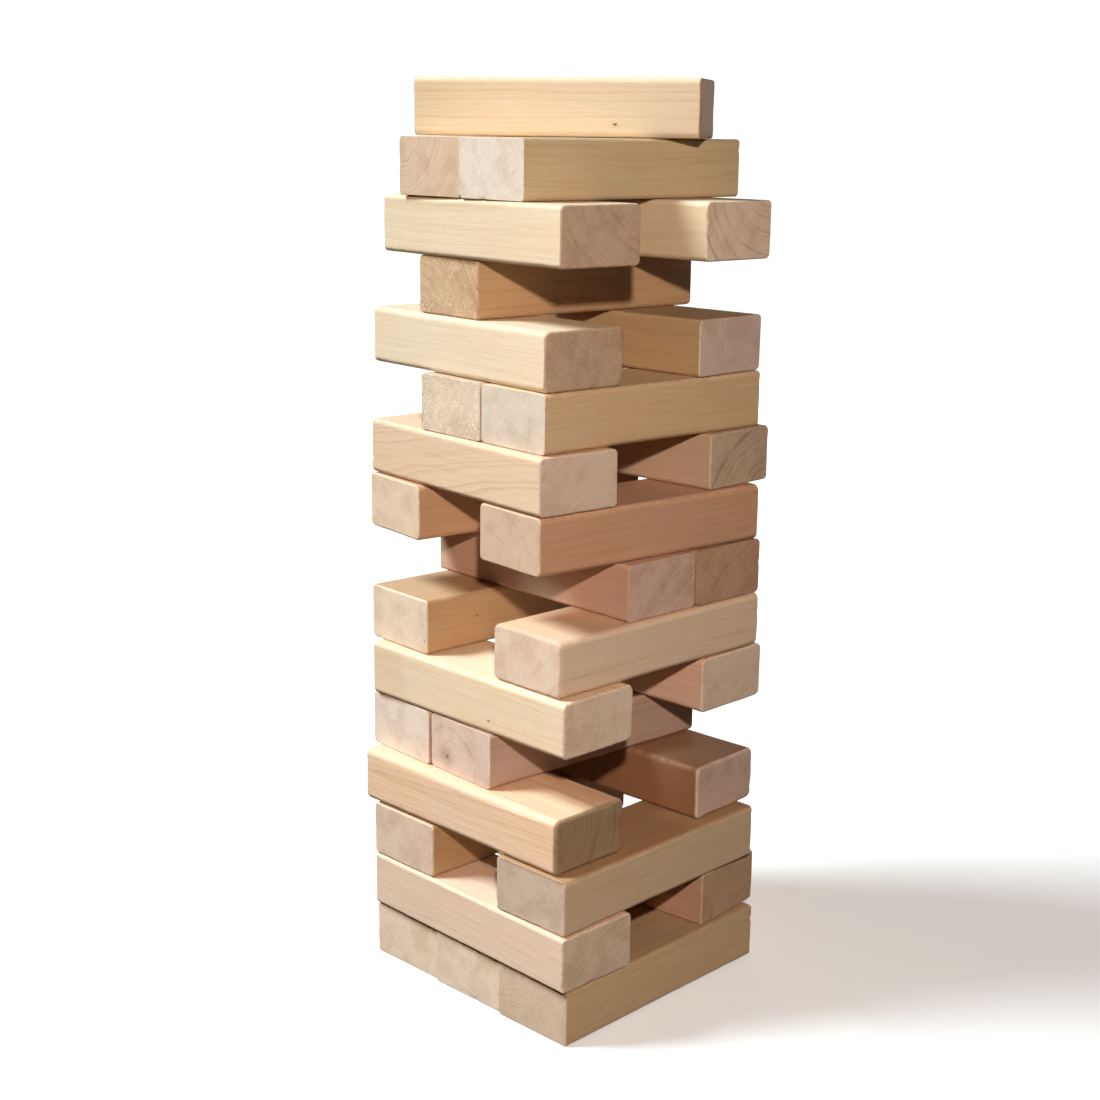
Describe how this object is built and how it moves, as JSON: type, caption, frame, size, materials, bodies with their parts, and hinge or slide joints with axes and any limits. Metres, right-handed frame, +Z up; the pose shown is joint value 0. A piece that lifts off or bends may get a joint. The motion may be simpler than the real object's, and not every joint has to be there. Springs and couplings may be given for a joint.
{
  "type": "giant tumbling tower",
  "caption": "Tall stack of loose, round-edged timber blocks laid crosswise in levels, mid-game, with gaps where blocks were pulled and a block laid askew on top.",
  "frame": {"origin": "centre of the underside of the bottom level's middle block, on the ground", "axes": "+Z up; +X along the blocks of the odd levels; +Y along the blocks of the even levels"},
  "size_m": [0.225, 0.2295, 0.6095],
  "materials": {
    "birch_pale": "sanded bare wood, fine grain",
    "birch_warm": "sanded bare wood, warm straight grain",
    "birch_grey": "sanded bare wood, greyish brown streaked grain"
  },
  "bodies": {
    "level01_back": {"level01_back": "birch_warm"},
    "level01_middle": {"level01_middle": "birch_warm"},
    "level01_front": {"level01_front": "birch_pale"},
    "level02_left": {"level02_left": "birch_pale"},
    "level02_right": {"level02_right": "birch_grey"},
    "level03_back": {"level03_back": "birch_warm"},
    "level03_front": {"level03_front": "birch_pale"},
    "level04_left": {"level04_left": "birch_warm"},
    "level04_right": {"level04_right": "birch_grey"},
    "level05_back": {"level05_back": "birch_pale"},
    "level05_middle": {"level05_middle": "birch_pale"},
    "level06_left": {"level06_left": "birch_warm"},
    "level06_right": {"level06_right": "birch_grey"},
    "level07_back": {"level07_back": "birch_pale"},
    "level07_front": {"level07_front": "birch_warm"},
    "level08_middle": {"level08_middle": "birch_warm"},
    "level08_right": {"level08_right": "birch_grey"},
    "level09_back": {"level09_back": "birch_pale"},
    "level09_front": {"level09_front": "birch_pale"},
    "level10_left": {"level10_left": "birch_pale"},
    "level10_right": {"level10_right": "birch_grey"},
    "level11_middle": {"level11_middle": "birch_pale"},
    "level11_front": {"level11_front": "birch_pale"},
    "level12_left": {"level12_left": "birch_pale"},
    "level12_right": {"level12_right": "birch_warm"},
    "level13_middle": {"level13_middle": "birch_warm"},
    "level14_left": {"level14_left": "birch_pale"},
    "level14_right": {"level14_right": "birch_grey"},
    "level15_back": {"level15_back": "birch_warm"},
    "level15_middle": {"level15_middle": "birch_pale"},
    "level16_top": {"level16_top": "birch_pale"}
  },
  "joints": [
    {"name": "pull_level01_back", "type": "slide", "parent": "level01_middle", "child": "level01_back", "axis": [1, 0, 0], "range_m": [-0.205, 0.205]},
    {"name": "pull_level01_front", "type": "slide", "parent": "level01_middle", "child": "level01_front", "axis": [1, 0, 0], "range_m": [-0.2, 0.205]},
    {"name": "pull_level02_left", "type": "slide", "parent": "level01_middle", "child": "level02_left", "axis": [0.0279, 0.9996, 0], "range_m": [-0.195, 0.205]},
    {"name": "pull_level02_right", "type": "slide", "parent": "level01_middle", "child": "level02_right", "axis": [-0.0872, 0.9962, 0], "range_m": [-0.205, 0.205]},
    {"name": "pull_level03_back", "type": "slide", "parent": "level01_middle", "child": "level03_back", "axis": [0.9998, -0.0209, 0], "range_m": [-0.2, 0.21]},
    {"name": "pull_level03_front", "type": "slide", "parent": "level01_middle", "child": "level03_front", "axis": [1, 0.0017, 0], "range_m": [-0.2, 0.21]},
    {"name": "pull_level04_left", "type": "slide", "parent": "level01_middle", "child": "level04_left", "axis": [0.014, 0.9999, 0], "range_m": [-0.205, 0.2]},
    {"name": "pull_level04_right", "type": "slide", "parent": "level01_middle", "child": "level04_right", "axis": [-0.0297, 0.9996, 0], "range_m": [-0.21, 0.205]},
    {"name": "pull_level05_back", "type": "slide", "parent": "level01_middle", "child": "level05_back", "axis": [0.9973, -0.0732, 0], "range_m": [-0.21, 0.21]},
    {"name": "pull_level05_middle", "type": "slide", "parent": "level01_middle", "child": "level05_middle", "axis": [0.9973, -0.0732, 0], "range_m": [-0.21, 0.21]},
    {"name": "pull_level06_left", "type": "slide", "parent": "level01_middle", "child": "level06_left", "axis": [0.0227, 0.9997, 0], "range_m": [-0.195, 0.205]},
    {"name": "pull_level06_right", "type": "slide", "parent": "level01_middle", "child": "level06_right", "axis": [0.0087, 1, 0], "range_m": [-0.2, 0.205]},
    {"name": "pull_level07_back", "type": "slide", "parent": "level01_middle", "child": "level07_back", "axis": [0.9971, -0.0767, 0], "range_m": [-0.205, 0.21]},
    {"name": "pull_level07_front", "type": "slide", "parent": "level01_middle", "child": "level07_front", "axis": [0.9993, -0.0384, 0], "range_m": [-0.2, 0.205]},
    {"name": "pull_level08_middle", "type": "slide", "parent": "level01_middle", "child": "level08_middle", "axis": [0.0471, 0.9989, 0], "range_m": [-0.2, 0.21]},
    {"name": "pull_level08_right", "type": "slide", "parent": "level01_middle", "child": "level08_right", "axis": [0.0471, 0.9989, 0], "range_m": [-0.2, 0.21]},
    {"name": "pull_level09_back", "type": "slide", "parent": "level01_middle", "child": "level09_back", "axis": [0.9866, -0.1633, 0], "range_m": [-0.195, 0.22]},
    {"name": "pull_level09_front", "type": "slide", "parent": "level01_middle", "child": "level09_front", "axis": [0.9925, -0.1219, 0], "range_m": [-0.2, 0.215]},
    {"name": "pull_level10_left", "type": "slide", "parent": "level01_middle", "child": "level10_left", "axis": [0.1271, 0.9919, 0], "range_m": [-0.195, 0.2]},
    {"name": "pull_level10_right", "type": "slide", "parent": "level01_middle", "child": "level10_right", "axis": [-0.014, 0.9999, 0], "range_m": [-0.205, 0.215]},
    {"name": "pull_level11_middle", "type": "slide", "parent": "level01_middle", "child": "level11_middle", "axis": [0.9957, -0.0924, 0], "range_m": [-0.205, 0.21]},
    {"name": "pull_level11_front", "type": "slide", "parent": "level01_middle", "child": "level11_front", "axis": [0.9957, -0.0924, 0], "range_m": [-0.205, 0.21]},
    {"name": "pull_level12_left", "type": "slide", "parent": "level01_middle", "child": "level12_left", "axis": [0.1201, 0.9928, 0], "range_m": [-0.2, 0.15]},
    {"name": "pull_level12_right", "type": "slide", "parent": "level01_middle", "child": "level12_right", "axis": [0.0157, 0.9999, 0], "range_m": [-0.2, 0.155]},
    {"name": "pull_level13_middle", "type": "slide", "parent": "level01_middle", "child": "level13_middle", "axis": [0.9956, -0.0941, 0], "range_m": [-0.205, 0.195]},
    {"name": "pull_level14_left", "type": "slide", "parent": "level01_middle", "child": "level14_left", "axis": [0.1219, 0.9925, 0], "range_m": [-0.16, 0.18]},
    {"name": "pull_level14_right", "type": "slide", "parent": "level01_middle", "child": "level14_right", "axis": [0.0384, 0.9993, 0], "range_m": [-0.155, 0.18]},
    {"name": "pull_level15_back", "type": "slide", "parent": "level01_middle", "child": "level15_back", "axis": [0.9973, -0.0732, 0], "range_m": [-0.2, 0.195]},
    {"name": "pull_level15_middle", "type": "slide", "parent": "level01_middle", "child": "level15_middle", "axis": [0.9973, -0.0732, 0], "range_m": [-0.2, 0.195]},
    {"name": "lift_level16_top", "type": "slide", "parent": "level01_middle", "child": "level16_top", "axis": [0, 0, 1], "range_m": [0, 0.15]}
  ]
}
